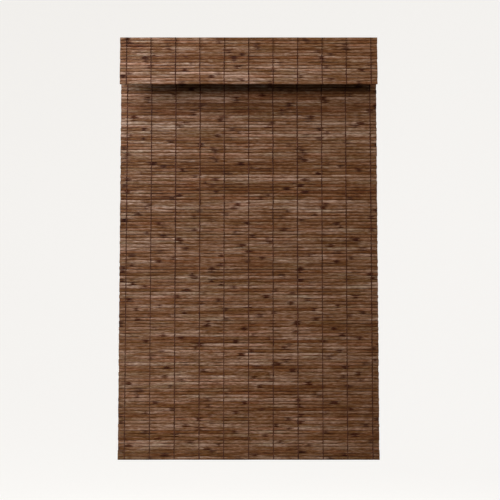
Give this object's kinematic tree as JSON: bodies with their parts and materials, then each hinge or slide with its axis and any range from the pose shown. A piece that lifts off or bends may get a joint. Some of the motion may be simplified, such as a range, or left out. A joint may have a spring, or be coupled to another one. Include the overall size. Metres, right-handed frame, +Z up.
{
  "type": "bamboo roman shade",
  "caption": "Flat-fold roman shade of woven bamboo slats with a front valance, a headrail with a spring lift, inner lift cords and a weighted hem.",
  "frame": {"origin": "centre of the four bracket screw holes on the top mounting face", "axes": "+X to the right seen from the room, +Y towards the window, +Z up"},
  "size_m": [0.902, 0.0542, 1.468],
  "materials": {
    "bamboo": "oiled, brown, with darker nodes",
    "warp": "twisted dark brown yarn",
    "rail_paint": "satin brown",
    "cap_plastic": "matte brown",
    "bracket_steel": "zinc-plated",
    "motor_plastic": "moulded",
    "spool_plastic": "moulded",
    "drum_plastic": "moulded",
    "spring_steel": "bright strip",
    "pin_steel": "turned",
    "white_plastic": "moulded",
    "cord": "braided",
    "hanger_aluminium": "mill finish",
    "rivet_aluminium": "mill finish",
    "tape": "hook and loop",
    "bar_wood": "planed"
  },
  "bodies": {
    "headrail": {"headrail": "rail_paint", "end_cap_left": "cap_plastic", "end_cap_right": "cap_plastic", "bracket_left": "bracket_steel", "bracket_right": "bracket_steel", "motor_base": "motor_plastic", "motor_cover": "motor_plastic", "spring_band": "spring_steel", "cradle_left": "white_plastic", "cradle_right": "white_plastic", "cradle_pins": "pin_steel", "headrail_cords": "cord", "lift_cord_left": "cord", "lift_cord_right": "cord", "panel_hanger": "hanger_aluminium", "hanger_rivets": "rivet_aluminium", "valance_tape": "tape", "valance_mat": "bamboo", "valance_warp": "warp", "top_mat": "bamboo", "top_warp": "warp"},
    "fold_1_upper": {"upper_mat_1": "bamboo", "upper_warp_1": "warp"},
    "fold_1_lower": {"lower_mat_1": "bamboo", "lower_warp_1": "warp"},
    "rings_1": {"rings_1": "white_plastic"},
    "fold_2_upper": {"upper_mat_2": "bamboo", "upper_warp_2": "warp"},
    "fold_2_lower": {"lower_mat_2": "bamboo", "lower_warp_2": "warp"},
    "rings_2": {"rings_2": "white_plastic"},
    "fold_3_upper": {"upper_mat_3": "bamboo", "upper_warp_3": "warp"},
    "fold_3_lower": {"lower_mat_3": "bamboo", "lower_warp_3": "warp"},
    "rings_3": {"rings_3": "white_plastic"},
    "fold_4_upper": {"upper_mat_4": "bamboo", "upper_warp_4": "warp"},
    "fold_4_lower": {"lower_mat_4": "bamboo", "lower_warp_4": "warp"},
    "rings_4": {"rings_4": "white_plastic"},
    "fold_5_upper": {"upper_mat_5": "bamboo", "upper_warp_5": "warp"},
    "fold_5_lower": {"lower_mat_5": "bamboo", "lower_warp_5": "warp"},
    "rings_5": {"rings_5": "white_plastic"},
    "fold_6_upper": {"upper_mat_6": "bamboo", "upper_warp_6": "warp"},
    "fold_6_lower": {"lower_mat_6": "bamboo", "lower_warp_6": "warp"},
    "rings_6": {"rings_6": "white_plastic"},
    "bottom_section": {"bottom_mat": "bamboo", "bottom_warp": "warp", "bottom_bar": "bar_wood", "cord_anchors": "white_plastic"},
    "spool_left": {"spool_left": "spool_plastic"},
    "drive_drum": {"drive_drum": "drum_plastic"},
    "idler_gear": {"idler_gear": "spool_plastic"},
    "spool_right": {"spool_right": "spool_plastic"},
    "storage_drum": {"storage_drum": "drum_plastic"}
  },
  "joints": [
    {"name": "fold_1_upper", "type": "hinge", "parent": "headrail", "child": "fold_1_upper", "pos_m": [0, 0.0085, -0.1804], "axis": [-1, 0, 0], "range_deg": [0, 84], "deforming": ["lift_cord_left", "lift_cord_right"]},
    {"name": "fold_1_lower", "type": "hinge", "parent": "fold_1_upper", "child": "fold_1_lower", "pos_m": [0, 0.0115, -0.2803], "axis": [-1, 0, 0], "range_deg": [-168, 0]},
    {"name": "rings_1", "type": "hinge", "parent": "fold_1_lower", "child": "rings_1", "pos_m": [0, 0.0085, -0.3802], "axis": [-1, 0, 0], "range_deg": [0, 84]},
    {"name": "fold_2_upper", "type": "hinge", "parent": "fold_1_lower", "child": "fold_2_upper", "pos_m": [0, 0.0085, -0.3802], "axis": [-1, 0, 0], "range_deg": [0, 168]},
    {"name": "fold_2_lower", "type": "hinge", "parent": "fold_2_upper", "child": "fold_2_lower", "pos_m": [0, 0.0115, -0.4801], "axis": [-1, 0, 0], "range_deg": [-168, 0]},
    {"name": "rings_2", "type": "hinge", "parent": "fold_2_lower", "child": "rings_2", "pos_m": [0, 0.0085, -0.58], "axis": [-1, 0, 0], "range_deg": [0, 84]},
    {"name": "fold_3_upper", "type": "hinge", "parent": "fold_2_lower", "child": "fold_3_upper", "pos_m": [0, 0.0085, -0.58], "axis": [-1, 0, 0], "range_deg": [0, 168]},
    {"name": "fold_3_lower", "type": "hinge", "parent": "fold_3_upper", "child": "fold_3_lower", "pos_m": [0, 0.0115, -0.6799], "axis": [-1, 0, 0], "range_deg": [-168, 0]},
    {"name": "rings_3", "type": "hinge", "parent": "fold_3_lower", "child": "rings_3", "pos_m": [0, 0.0085, -0.7798], "axis": [-1, 0, 0], "range_deg": [0, 84]},
    {"name": "fold_4_upper", "type": "hinge", "parent": "fold_3_lower", "child": "fold_4_upper", "pos_m": [0, 0.0085, -0.7798], "axis": [-1, 0, 0], "range_deg": [0, 168]},
    {"name": "fold_4_lower", "type": "hinge", "parent": "fold_4_upper", "child": "fold_4_lower", "pos_m": [0, 0.0115, -0.8797], "axis": [-1, 0, 0], "range_deg": [-168, 0]},
    {"name": "rings_4", "type": "hinge", "parent": "fold_4_lower", "child": "rings_4", "pos_m": [0, 0.0085, -0.9796], "axis": [-1, 0, 0], "range_deg": [0, 84]},
    {"name": "fold_5_upper", "type": "hinge", "parent": "fold_4_lower", "child": "fold_5_upper", "pos_m": [0, 0.0085, -0.9796], "axis": [-1, 0, 0], "range_deg": [0, 168]},
    {"name": "fold_5_lower", "type": "hinge", "parent": "fold_5_upper", "child": "fold_5_lower", "pos_m": [0, 0.0115, -1.0795], "axis": [-1, 0, 0], "range_deg": [-168, 0]},
    {"name": "rings_5", "type": "hinge", "parent": "fold_5_lower", "child": "rings_5", "pos_m": [0, 0.0085, -1.1794], "axis": [-1, 0, 0], "range_deg": [0, 84]},
    {"name": "fold_6_upper", "type": "hinge", "parent": "fold_5_lower", "child": "fold_6_upper", "pos_m": [0, 0.0085, -1.1794], "axis": [-1, 0, 0], "range_deg": [0, 168]},
    {"name": "fold_6_lower", "type": "hinge", "parent": "fold_6_upper", "child": "fold_6_lower", "pos_m": [0, 0.0115, -1.2793], "axis": [-1, 0, 0], "range_deg": [-168, 0]},
    {"name": "rings_6", "type": "hinge", "parent": "fold_6_lower", "child": "rings_6", "pos_m": [0, 0.0085, -1.3792], "axis": [-1, 0, 0], "range_deg": [0, 84]},
    {"name": "bottom_section", "type": "hinge", "parent": "fold_6_lower", "child": "bottom_section", "pos_m": [0, 0.0085, -1.3792], "axis": [-1, 0, 0], "range_deg": [0, 84]},
    {"name": "spool_left_turn", "type": "hinge", "parent": "headrail", "child": "spool_left", "pos_m": [-0.0423, 0.0044, -0.03], "axis": [0, 0, 1], "range_deg": [-4718.67, 0]},
    {"name": "drive_drum_turn", "type": "hinge", "parent": "headrail", "child": "drive_drum", "pos_m": [-0.0141, 0.0044, -0.03], "axis": [0, 0, 1], "range_deg": [0, 4718.67]},
    {"name": "idler_gear_turn", "type": "hinge", "parent": "headrail", "child": "idler_gear", "pos_m": [0.0141, 0.0044, -0.03], "axis": [0, 0, 1], "range_deg": [-4718.67, 0]},
    {"name": "spool_right_turn", "type": "hinge", "parent": "headrail", "child": "spool_right", "pos_m": [0.0423, 0.0044, -0.03], "axis": [0, 0, 1], "range_deg": [0, 4718.67]},
    {"name": "storage_drum_turn", "type": "hinge", "parent": "headrail", "child": "storage_drum", "pos_m": [0.0141, 0.0044, -0.02], "axis": [0, 0, 1], "range_deg": [-5662.4, 0]}
  ],
  "couplings": [
    {"joint": "fold_1_lower", "follows": "fold_1_upper", "ratio": -2},
    {"joint": "rings_1", "follows": "fold_1_upper", "ratio": 1},
    {"joint": "fold_2_upper", "follows": "fold_1_upper", "ratio": 2},
    {"joint": "fold_2_lower", "follows": "fold_1_upper", "ratio": -2},
    {"joint": "rings_2", "follows": "fold_1_upper", "ratio": 1},
    {"joint": "fold_3_upper", "follows": "fold_1_upper", "ratio": 2},
    {"joint": "fold_3_lower", "follows": "fold_1_upper", "ratio": -2},
    {"joint": "rings_3", "follows": "fold_1_upper", "ratio": 1},
    {"joint": "fold_4_upper", "follows": "fold_1_upper", "ratio": 2},
    {"joint": "fold_4_lower", "follows": "fold_1_upper", "ratio": -2},
    {"joint": "rings_4", "follows": "fold_1_upper", "ratio": 1},
    {"joint": "fold_5_upper", "follows": "fold_1_upper", "ratio": 2},
    {"joint": "fold_5_lower", "follows": "fold_1_upper", "ratio": -2},
    {"joint": "rings_5", "follows": "fold_1_upper", "ratio": 1},
    {"joint": "fold_6_upper", "follows": "fold_1_upper", "ratio": 2},
    {"joint": "fold_6_lower", "follows": "fold_1_upper", "ratio": -2},
    {"joint": "rings_6", "follows": "fold_1_upper", "ratio": 1},
    {"joint": "bottom_section", "follows": "fold_1_upper", "ratio": 1},
    {"joint": "spool_left_turn", "follows": "fold_1_upper", "ratio": -56.175},
    {"joint": "drive_drum_turn", "follows": "fold_1_upper", "ratio": 56.175},
    {"joint": "idler_gear_turn", "follows": "fold_1_upper", "ratio": -56.175},
    {"joint": "spool_right_turn", "follows": "fold_1_upper", "ratio": 56.175},
    {"joint": "storage_drum_turn", "follows": "fold_1_upper", "ratio": -67.409}
  ]
}
